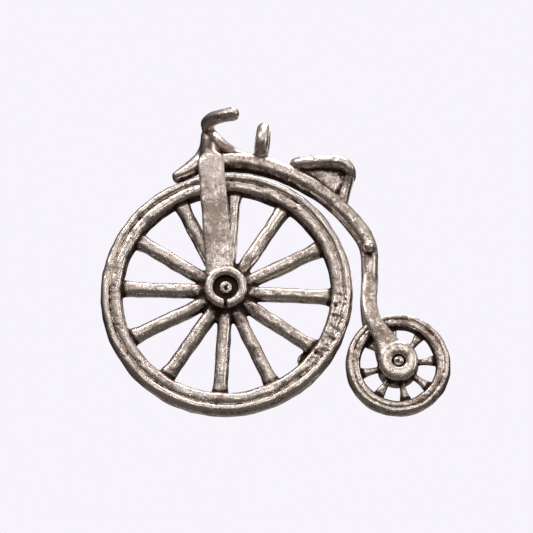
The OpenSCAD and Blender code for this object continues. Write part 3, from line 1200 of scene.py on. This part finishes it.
@dataclass
class HeadAndFork:
    """The steering head, its handlebar, the brake spoon and the two front legs.

    Lengths are in millimetres about the front axle; +X is to the rear. Every list of
    stations holds x, y, z, the half size across and the half size beside.
    """

    neck_x: float = -1.56
    handlebar_z: float = 13.68
    leg_foot_x: float = -0.36
    leg_lean: float = 5.2
    leg_half_width: float = 1.08
    leg_half_thickness: float = 0.3
    leg_y: float = -1.4
    eye_radius: float = 1.3
    eye_half_depth: float = 0.36
    eye_half_width: float = 0.37
    eye_y: float = -1.43

    def leg(self) -> list[Shell]:
        """The near leg: a flat strap that leans forward and narrows into the neck.

        Returns:
            Its shell.
        """
        lean = math.tan(math.radians(self.leg_lean))
        w, t, y = self.leg_half_width, self.leg_half_thickness, self.leg_y
        widening = ((0.96, 0.03), (3, 0), (6, -0.03), (9, -0.03), (10.2, -0.03))
        straight = [(self.leg_foot_x - z * lean, y, z, w + grow, t) for z, grow in widening]
        crown = [(-1.33, y + 0.05, 10.7, 0.97, 0.31), (-1.38, y + 0.18, 11.35, 0.84, 0.3)]
        return [bar(straight + crown, 4.5, ends=(0.12, 0.9), count=170, around=64)]

    def eye(self) -> list[Shell]:
        """The near eye: a strap bent nearly into a ring, its ends meeting at the bottom.

        Returns:
            The strap and the floor inside it.
        """
        rows, slit = 40, 3.5
        path = arc((0, 0), self.eye_radius, slit - 90, 270 - slit, rows)
        path[:, 1] = self.eye_y
        sizes = np.full((rows, 2), (self.eye_half_depth, self.eye_half_width))
        strap = bar(np.concatenate([path, sizes], 1), 3.0, ends=(0.06, 0.06), count=180, around=40)
        floor = disc(1.25, 0.1, 4).moved((0, self.eye_y + 0.3, 0))
        return [strap, floor]

    def neck(self) -> list[Shell]:
        """The crown and the neck, with a flare down to the backbone.

        Returns:
            The two shells.
        """
        x = self.neck_x
        column = [
            (x + 0.22, 0, 10.3, 1.0, 1.6),
            (x + 0.2, 0, 10.9, 0.98, 1.56),
            (x + 0.14, 0, 11.5, 0.9, 1.36),
            (x + 0.08, 0, 12.1, 0.82, 1.04),
            (x + 0.04, 0, 12.8, 0.76, 0.8),
            (x + 0.02, 0, 13.4, 0.68, 0.68),
            (x, 0, 13.8, 0.6, 0.62),
        ]
        rear_flare = [
            (-1.62, 0, 13.3, 0.5, 0.6),
            (-1.33, 0, 12.85, 0.68, 0.78),
            (-0.91, 0, 12.37, 0.7, 0.92),
            (-0.36, 0, 11.84, 0.7, 0.9),
            (0.31, 0, 11.42, 0.7, 0.7),
            (1.0, 0, 11.1, 0.68, 0.7),
            (1.7, 0, 10.93, 0.6, 0.68),
            (2.7, 0, 10.64, 0.38, 0.6),
        ]
        return [bar(column, 2.3, ends=(0.15, None)), bar(rear_flare, 2.2)]

    def spoon(self) -> list[Shell]:
        """The brake spoon: a tongue that runs down from the neck and follows the tread.

        Returns:
            Its shell.
        """
        tongue = [
            (-1.75, 0, 12.9, 0.5, 0.5),
            (-1.85, 0, 12.0, 0.55, 0.6),
            (-2.15, 0, 11.1, 0.68, 0.68),
            (-2.72, 0, 10.5, 0.66, 0.7),
            (-3.38, 0, 10.05, 0.55, 0.7),
            (-4.0, 0, 9.65, 0.43, 0.68),
            (-4.36, 0, 9.42, 0.36, 0.62),
        ]
        return [bar(tongue, 2.6, ends=(0.3, 0.2))]

    def handlebar(self) -> list[Shell]:
        """The handlebar, swept back at both ends and turned a little out of square.

        Returns:
            Its near half and its far half.
        """
        x, z = self.neck_x, self.handlebar_z
        near = [
            (x, 0.3, z, 0.54, 0.54),
            (x - 0.08, -0.6, z + 0.02, 0.54, 0.54),
            (x - 0.02, -1.35, z + 0.06, 0.54, 0.53),
            (x + 0.42, -2.02, z + 0.12, 0.53, 0.52),
            (x + 1.15, -2.5, z + 0.16, 0.53, 0.52),
            (x + 1.95, -2.8, z + 0.19, 0.54, 0.54),
            (x + 2.5, -3.0, z + 0.2, 0.53, 0.54),
        ]
        far = [
            (x, -0.3, z, 0.5, 0.52),
            (x - 0.08, 0.8, z, 0.51, 0.51),
            (x - 0.1, 1.5, z, 0.51, 0.51),
            (x + 0.1, 2.2, z, 0.51, 0.51),
            (x + 0.5, 2.8, z, 0.51, 0.51),
            (x + 0.95, 3.3, z, 0.51, 0.51),
        ]
        return [bar(rows, 2.0, beside=(0, 0, 1)) for rows in (near, far)]

    def shade_and_tarnish(self, points: np.ndarray) -> np.ndarray:
        """Painted shade on the neck behind the legs and between the legs, and darkening inside the
        eyes.

        Each part is a bell curve of height or of distance from the axle, or a ramp of
        the distance from the bicycle's plane.

        Args:
            points: where it is wanted, about the front axle.

        Returns:
            One share a point.
        """
        x, y, z = points.T
        height = np.exp(-(((z - 12.2) / 0.8) ** 2)) * (x > -2.4)
        height = height * np.clip((1.75 - np.abs(y)) / 0.4, 0, 1)
        between = np.clip((1.25 - np.abs(y)) / 0.2, 0, 1) * (z < 11.5) * (x > -2.2)
        in_eye = np.exp(-((np.hypot(x, z) / 0.95) ** 6)) * (np.abs(y) < 1.5)
        return 0.8 * height + 0.6 * between + 1.3 * in_eye

    def build(self, datum: Datum) -> bpy.types.Object:
        """Melts the head, handlebar, spoon and legs into one casting.

        Args:
            datum: the axles.

        Returns:
            The finished piece.
        """
        tip = (self.neck_x + 2.5, -3.42, self.handlebar_z + 0.15)
        shells = both_sides(self.leg() + self.eye())
        shells += self.neck() + self.spoon() + self.handlebar()
        return Casting(
            "head_and_front_fork",
            shells,
            datum.front,
            Body.FRAME,
            [
                "steering_head",
                "handlebar",
                "brake_spoon",
                "front_fork_leg_near",
                "front_fork_leg_far",
            ],
            HEAD_SILVER,
            grain=0.062,
            softness=10,
            dents=marks((*tip, 0.12, 0.06), (-0.95, -1.75, 8.1, 0.16, 0.03)),
            rubs_and_shades=marks(
                (-1.3, -1.7, 10.0, 1.5, 0.55),
                (-0.5, -1.7, 1.6, 0.7, 0.35),
                (-0.6, -1.7, 5.6, 2.2, -0.3),
                (*tip, 0.8, 0.7),
                (1.3, -1.7, 0.2, 0.6, 0.4),
                (-1.6, -1.5, 13.75, 1.2, 0.4),
                (-3.9, -0.7, 9.9, 0.8, 0.5),
            ),
            shade_and_tarnish=self.shade_and_tarnish,
            seed=31,
            unevenness=0.012,
        ).build()


# ------------------------------------------------------------------ backbone, saddle and rear fork


@dataclass
class BackboneAndSaddle:
    """The backbone with its loop, step, saddle and the two arms of the rear fork.

    Lengths are in millimetres about the front axle, and the stations hold what the
    head's do.
    """

    arc_radius: float = 10.88
    sweep_radius: float = 13.5
    sweep_turn: float = 1.2566
    half_depth: float = 0.72
    half_width: float = 0.85
    arm_y: float = -1.2
    arm_half_thickness: float = 0.3
    saddle_top: float = 11.02
    loop_x: float = 2.7
    loop_z: float = 12.45
    loop_lean: float = 5.0
    loop_radius: float = 1.2
    loop_half: tuple[float, float] = (0.48, 0.54)

    def backbone(self) -> list[Shell]:
        """The bar that hugs the big wheel, bends and comes down as the stem.

        It starts as an arc about the big wheel, and goes on as a wider one that touches
        the first at sweep_turn radians.

        Returns:
            Its shell.
        """
        thick_rows, thicker = 11, 0.06
        wheel_arc = arc((0, 0), self.arc_radius, 97, 74, 7)
        turn, shift = self.sweep_turn, self.arc_radius - self.sweep_radius
        sweep_centre = shift * np.array([math.cos(turn), math.sin(turn)])
        sweep = arc(sweep_centre, self.sweep_radius, 70, 31, 10)
        curved = np.concatenate([wheel_arc, sweep])
        sizes = np.full((len(curved), 2), (self.half_depth, self.half_width))
        sizes[:thick_rows, 0] += thicker
        down = [
            (11.05, 0, 3.7, 0.7, 0.84),
            (11.14, 0, 2.6, 0.69, 0.82),
            (11.13, 0, 1.2, 0.67, 0.8),
            (11.05, 0, 0.0, 0.63, 0.82),
            (11.02, 0, -0.9, 0.6, 0.85),
        ]
        stations = np.concatenate([np.concatenate([curved, sizes], 1), down])
        return [bar(stations, 2.4, count=260, around=56)]

    def arm(self, rear: np.ndarray) -> list[Shell]:
        """The near arm of the rear fork, from inside the stem to its eye.

        Args:
            rear: the rear axle as seen from the front one.

        Returns:
            The arm, the ring of the eye and the floor inside it.
        """
        y, t = self.arm_y, self.arm_half_thickness
        knee = [
            (11.1, -0.42, 1.6, 0.5, 0.3),
            (11.08, -0.5, 0.6, 0.6, 0.36),
            (11.02, -0.72, -0.3, 0.62, 0.36),
            (11.04, -1.03, -1.3, 0.62, 0.32),
            (11.22, y, -2.3, 0.64, t),
            (11.66, y, -3.2, 0.68, t),
            (12.14, y, -4.0, 0.78, t),
            (rear[0] - 0.62, y, rear[2] + 0.95, 1.02, t),
            (rear[0] - 0.3, y, rear[2] + 0.45, 1.24, t),
        ]
        eye_ring = ring(1.01, 0.52, 0.37, (2.6, 3.4), around=96, profile=36)
        eye_ring = eye_ring.moved((rear[0], y - 0.04, rear[2]))
        floor = disc(0.9, 0.08, 4).moved((rear[0], y + 0.16, rear[2]))
        return [bar(knee, 3.6, ends=(0.3, 0.3), count=150, around=48), eye_ring, floor]

    def saddle(self) -> list[Shell]:
        """The saddle: a plate that widens to the rear, where it curls down.

        Returns:
            The plate, its rear post and the web below it.
        """
        z = self.saddle_top - 0.375
        plate = [
            (4.9, 0, z - 0.22, 0.4, 0.75),
            (5.35, 0, z - 0.1, 0.54, 0.95),
            (6.2, 0, z - 0.06, 0.58, 1.15),
            (7.4, 0, z - 0.04, 0.58, 1.35),
            (8.5, 0, z - 0.1, 0.57, 1.5),
            (9.2, 0, z - 0.32, 0.56, 1.55),
            (9.62, 0, z - 0.76, 0.52, 1.5),
            (9.68, 0, z - 1.3, 0.42, 1.3),
        ]
        post = [
            (9.64, 0, z - 0.9, 0.42, 1.0),
            (9.38, 0, z - 1.8, 0.44, 0.76),
            (9.16, 0, z - 2.7, 0.48, 0.7),
            (9.0, 0, z - 3.6, 0.46, 0.66),
        ]
        web = [
            (5.9, 0, 10.2, 0.55, 0.5),
            (6.9, 0, 9.9, 0.85, 0.55),
            (8.1, 0, 9.35, 1.2, 0.6),
            (9.1, 0, 8.7, 1.3, 0.6),
        ]
        return [bar(plate, 2.8, around=56), bar(post, 2.8), bar(web, 3.5, ends=(0.3, 0.3))]

    def loop(self) -> list[Shell]:
        """The hanging loop: a ring across the bar, leaning to the rear, on a small foot.

        Returns:
            The ring and its foot.
        """
        lean = math.radians(self.loop_lean)
        c, s = math.cos(lean), math.sin(lean)
        a = np.radians(np.linspace(-90, 270, 60))
        up, out = self.loop_radius * np.sin(a), self.loop_radius * np.cos(a)
        across, beside = (0 * a + half for half in self.loop_half)
        place = [self.loop_x + s * up, out, self.loop_z + c * up]
        rows = np.stack([*place, across, beside], -1)
        hoop = bar(rows, 2.2, beside=(c, 0, -s), ends=(0.01, 0.01), count=200)
        foot = [
            (self.loop_x - 0.15, 0, 10.9, 0.6, 0.7),
            (self.loop_x - 0.1, 0, 11.4, 0.5, 0.62),
        ]
        return [hoop, bar(foot, 2.2, ends=(0.2, 0.35))]

    def step(self) -> list[Shell]:
        """The mounting step: a round knob on the near side of the bend.

        Returns:
            Its shell.
        """
        knob = [
            (11.05, -0.5, 3.42, 0.42, 0.42),
            (11.05, -1.0, 3.44, 0.5, 0.5),
            (11.05, -1.5, 3.45, 0.47, 0.47),
        ]
        return [bar(knob, 2.1, beside=(0, 0, 1), ends=(0.1, 0.42))]

    def shade_and_tarnish(self, points: np.ndarray) -> np.ndarray:
        """Painted shade under the saddle and along the bar's underside.

        Each is a product of ramps. The underside is where a point is nearer the big
        wheel than the bar's middle.

        Args:
            points: where it is wanted, about the front axle.

        Returns:
            One share a point.
        """
        x, _, z = points.T
        away, ramp = np.hypot(x, z), 0.3
        under_saddle = np.clip((away - 11.5) / ramp, 0, 1) * np.clip((10.35 - z) / ramp, 0, 1)
        under_saddle = under_saddle * (z > 7.5) * (x > 5) * np.clip((9.75 - x) / ramp, 0, 1)
        underside = np.clip((10.62 - away) / ramp, 0, 1) * (z > 6.5)
        return 0.2 * under_saddle + 0.5 * underside

    def build(self, datum: Datum) -> bpy.types.Object:
        """Melts the backbone, loop, saddle, step and rear arms into one casting.

        Args:
            datum: the axles.

        Returns:
            The finished piece.
        """
        rear = datum.rear_from_front
        shells = self.backbone() + self.saddle() + self.loop() + self.step()
        shells += both_sides(self.arm(rear))
        return Casting(
            "backbone_and_rear_fork",
            shells,
            datum.front,
            Body.FRAME,
            [
                "backbone",
                "rear_stem",
                "hanging_loop",
                "mounting_step",
                "saddle",
                "saddle_bracket",
                "rear_fork_arm_near",
                "rear_fork_arm_far",
            ],
            BACKBONE_SILVER,
            grain=0.068,
            softness=7,
            dents=marks(
                (2.15, -0.3, 13.05, 0.13, 0.05),
                (6.9, -1.3, 10.7, 0.14, 0.05),
                (8.5, -1.55, 10.6, 0.16, 0.06),
                (11.05, -1.9, 3.6, 0.15, 0.05),
            ),
            rubs_and_shades=marks(
                # The first mark paints the shadow under the step's knob; the next nine, bright and
                # dark down the stem, paint the highlights and shade of its facets.
                (11.1, -0.9, 2.75, 0.34, -1.0),
                (11.2, -0.9, 2.0, 0.4, 0.6),
                (11.2, -0.9, 1.1, 0.42, -0.8),
                (10.7, -0.9, 0.5, 0.35, 0.7),
                (11.1, -0.9, -0.3, 0.42, -0.9),
                (11.1, -1.2, -1.1, 0.4, -0.7),
                (10.75, -1.2, -1.7, 0.4, 0.8),
                (11.35, -1.5, -2.4, 0.34, -0.6),
                (11.0, -1.5, -3.0, 0.4, 0.6),
                (11.8, -1.5, -3.5, 0.45, -0.9),
                (rear[0], -1.6, rear[2] - 1.0, 0.9, 0.5),
                (6.5, -1.3, 10.7, 1.2, 0.6),
                (8.8, -1.5, 10.6, 0.8, 0.6),
                (11.05, -1.5, 3.45, 0.6, 0.6),
                (2.7, -0.5, 12.9, 0.8, 0.4),
            ),
            shade_and_tarnish=self.shade_and_tarnish,
            seed=41,
            unevenness=0.015,
        ).build()


@dataclass
class AxlePins:
    """The two pins that the wheels turn on, with rough peened ends.

    Attributes:
        lump: least depth of a dent in an end, in millimetres.
        radius_share: radius of a pin as a share of the frame node's.
    """

    lump: float = 0.05
    radius_share: float = 0.98

    def pin(self, name: str, axle: np.ndarray, seed: int) -> bpy.types.Object:
        """One pin, as long as the frame's, from end to end across the bicycle.

        Args:
            name: the frame node that it replaces.
            axle: the middle of the axle, in the frame's millimetres.
            seed: seed of its roughness.

        Returns:
            The finished piece.
        """
        low, high = node_box(name)
        radius = self.radius_share * (high[0] - low[0]) / 2
        half = (high[1] - low[1]) / 2
        rows = [(0, y, 0, radius, radius) for y in np.linspace(-half, half, 7)]
        shell = bar(rows, 2.2, beside=(0, 0, 1), ends=(0.16, 0.16), count=90, around=48)
        spots = np.array([(0.14, -half, 0.1), (-0.12, -half, -0.12), (0.05, -half, -0.2)])
        dents = scattered_marks(seed, 4, spots, (0.08, 0.14), (self.lump, 2 * self.lump))
        return Casting(
            name + "_peened",
            [shell],
            axle,
            Body.FRAME,
            [name],
            PIN_SILVER,
            dents=dents,
            rubs_and_shades=[Mark((0, side * half, 0), 0.4, 0.9) for side in (-1, 1)],
            seed=seed,
        ).build()

    def build(self, datum: Datum) -> list[bpy.types.Object]:
        """Both pins."""
        axles = (("front_axle_pin", datum.front, 51), ("rear_axle_pin", datum.rear, 52))
        return [self.pin(*axle) for axle in axles]


# ------------------------------------------------------------------ the studio


@dataclass
class Studio:
    """A pale floor, soft lamps, a pale sky and the camera.

    Attributes:
        middle: the point between the wheels that the view is measured from, as seen from
            the front axle, in millimetres.
        aim: what the camera points at, from the same axle.
        distance: from the middle to the camera, in millimetres.
        below: how far the camera looks up, in degrees.
        roll: how far the camera is turned about its own line of sight, in degrees.
        lens: focal length for the usual 36 mm of sensor.
        floor_z: height of the floor in the frame, in millimetres.
        floor_half: half the floor's side, in millimetres.
        pale: colour of the backdrop.
        lamp_colour: colour of every lamp.
    """

    middle: tuple[float, float, float] = (6.6, 0.0, 2.81)
    aim: tuple[float, float, float] = (3.09, 0.0, 2.16)
    distance: float = 142.5
    below: float = 18.5
    roll: float = 0.4
    lens: float = 123.2
    floor_z: float = -62.0
    floor_half: float = 600.0
    pale: Colour = (0.930, 0.904, 0.965, 1)
    lamp_colour: tuple[float, float, float] = (1.0, 0.965, 0.94)

    def camera(self, datum: Datum) -> None:
        """The camera, looking up at the bicycle's near side.

        Args:
            datum: the axles.
        """
        e = math.radians(self.below)
        back = np.array([0, -math.cos(e), -math.sin(e)])
        place = datum.front + np.array(self.middle) + self.distance * back
        data = bpy.data.cameras.new("camera")
        data.lens = self.lens
        data.sensor_width = 36
        data.clip_start, data.clip_end = 0.005, 5
        camera = bpy.data.objects.new("camera", data)
        bpy.context.scene.collection.objects.link(camera)
        camera.location = Vector(place * MM)
        look = Vector((datum.front + np.array(self.aim)) * MM) - camera.location
        facing = look.to_track_quat("-Z", "Y").to_matrix().to_4x4()
        roll = Matrix.Rotation(math.radians(self.roll), 4, "Z")
        camera.matrix_world = Matrix.Translation(camera.location) @ facing @ roll
        bpy.context.scene.camera = camera

    def lamp(
        self, name: str, place: tuple, target: np.ndarray, size: tuple, radiance: float
    ) -> None:
        """A soft rectangular lamp whose power gives the wanted radiance.

        Args:
            name: the lamp's name.
            place: where it stands from the target, in millimetres.
            target: what it faces, in the frame's millimetres.
            size: its two sides, in millimetres.
            radiance: its brightness as a mirror would show it.
        """
        data = bpy.data.lights.new(name, "AREA")
        data.shape = "RECTANGLE"
        data.size, data.size_y = size[0] * MM, size[1] * MM
        data.energy = radiance * math.pi * data.size * data.size_y
        data.color = self.lamp_colour
        lamp = bpy.data.objects.new(name, data)
        bpy.context.scene.collection.objects.link(lamp)
        lamp.location = Vector((target + np.array(place)) * MM)
        lamp.rotation_mode = "QUATERNION"
        lamp.rotation_quaternion = Vector(-np.array(place, float)).to_track_quat("-Z", "Y")

    def lamps(self, target: np.ndarray) -> None:
        """A key lamp above the near left, a strip to the right, a top panel and back fills.

        Args:
            target: what they all face, in the frame's millimetres.
        """
        self.lamp("key", (-70, -120, 110), target, (50, 40), 6.0)
        self.lamp("top", (20, 0, 180), target, (170, 80), 5.2)
        self.lamp("strip", (150, -110, 30), target, (30, 110), 3.0)
        self.lamp("front", (20, -190, 50), target, (60, 30), 2.4)
        self.lamp("back", (60, 160, 90), target, (110, 80), 1.3)
        self.lamp("low_back", (0, 170, -60), target, (200, 60), 0.5)

    def sky(self) -> None:
        """A pale sky to look at; reflections see it dim below and brighter above.

        Each level is a share of the way from straight below to straight above, leaning
        a little to the near side, with how bright the sky is there.
        """
        levels = ((0.0, 0.012), (0.45, 0.03), (0.62, 0.09), (0.78, 0.26), (0.9, 0.42), (1.0, 0.55))
        top = (0.1, -0.5, 0.86)
        world = bpy.data.worlds.new("studio")
        world.use_nodes = True
        bpy.context.scene.world = world
        tree = world.node_tree
        tree.nodes.clear()
        sheet = NodeSheet(tree)
        direction = sheet.add("TexCoord").outputs["Generated"]
        facing = sheet.add("VectorMath", {0: direction, 1: top}, operation="DOT_PRODUCT")
        share = sheet.math("MULTIPLY_ADD", facing.outputs["Value"], 0.5, 0.5)
        ramp = sheet.add("ValToRGB", {"Fac": share})
        band = ramp.color_ramp.elements
        for place, level in levels[1:-1]:
            band.new(place)
        for stop, (place, level) in zip(band, levels):
            stop.position = place
            stop.color = (level, 0.93 * level, 0.88 * level, 1)
        lit, shown = (
            sheet.add("Background", {"Color": colour, "Strength": 1.0}).outputs[0]
            for colour in (ramp.outputs[0], self.pale)
        )
        seen = sheet.add("LightPath").outputs["Is Camera Ray"]
        mixed = sheet.add("MixShader", {0: seen, 1: lit, 2: shown})
        output = tree.nodes.new("ShaderNodeOutputWorld")
        tree.links.new(mixed.outputs[0], output.inputs["Surface"])

    def floor(self, datum: Datum) -> None:
        """A wide pale floor below the camera, faintly mottled like matt card.

        It is a flat square grid. Reflections see it dark, so that the silver's
        undersides stay deep.

        Args:
            datum: the axles.
        """
        rows = 25
        side = np.linspace(-self.floor_half, self.floor_half, rows)
        gx, gy = np.meshgrid(side + datum.front[0], side, indexing="ij")
        points = np.stack([gx, gy, np.full_like(gx, self.floor_z)], -1).reshape(-1, 3) * MM
        i, j = np.meshgrid(np.arange(rows - 1), np.arange(rows - 1), indexing="ij")
        k = (i * rows + j).reshape(-1)
        quads = np.stack([k, k + rows, k + rows + 1, k + 1], -1)
        floor = bpy.data.objects.new("floor", mesh_from("floor", Shell(points, quads)))
        bpy.context.scene.collection.objects.link(floor)
        material = bpy.data.materials.new("matt_card")
        material.use_nodes = True
        sheet = NodeSheet(material.node_tree)
        shader = material.node_tree.nodes["Principled BSDF"]
        place = sheet.add("TexCoord").outputs["Object"]
        grain = sheet.noise(place, 900, 4)
        tint = sheet.blend(grain, (0.84, 0.82, 0.87, 1), (0.88, 0.86, 0.91, 1))
        seen = sheet.add("LightPath").outputs["Is Camera Ray"]
        shown = sheet.blend(seen, (0.10, 0.09, 0.085, 1), tint)
        glow = sheet.blend(seen, (0, 0, 0, 1), tuple(0.5 * c for c in self.pale))
        bump = sheet.add("Bump", {"Distance": 0.0001, "Height": grain}).outputs["Normal"]
        sheet.feed(shader, {"Base Color": shown, "Emission Color": glow, "Normal": bump})
        shader.inputs["Emission Strength"].default_value = 1.0
        shader.inputs["Roughness"].default_value = 0.9
        floor.data.materials.append(material)
        floor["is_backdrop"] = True

    def build(self, datum: Datum) -> None:
        """Sets up the whole studio and a plain display of its colours.

        Args:
            datum: the axles.
        """
        self.camera(datum)
        self.lamps(datum.front + np.array(self.middle))
        self.sky()
        self.floor(datum)
        bpy.context.scene.view_settings.view_transform = "Standard"


# ------------------------------------------------------------------ the whole charm


def corners(box: tuple[Vector, Vector]) -> list[list[float]]:
    """A box's two corners as plain lists."""
    return [list(box[0]), list(box[1])]


def main() -> None:
    """Builds the charm piece by piece, then the studio."""
    logging.basicConfig(level=logging.INFO, format="%(name)s: %(message)s")
    frame_box = corners(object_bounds())
    datum = Datum.from_frame()
    for wheel, axle in ((front_wheel(), datum.front), (rear_wheel(), datum.rear)):
        wheel.band(axle)
        wheel.spider(axle)
    HeadAndFork().build(datum)
    BackboneAndSaddle().build(datum)
    AxlePins().build(datum)
    Studio().build(datum)
    {"frame": frame_box, "visual": corners(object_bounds())}


if __name__ == "__main__":
    main()
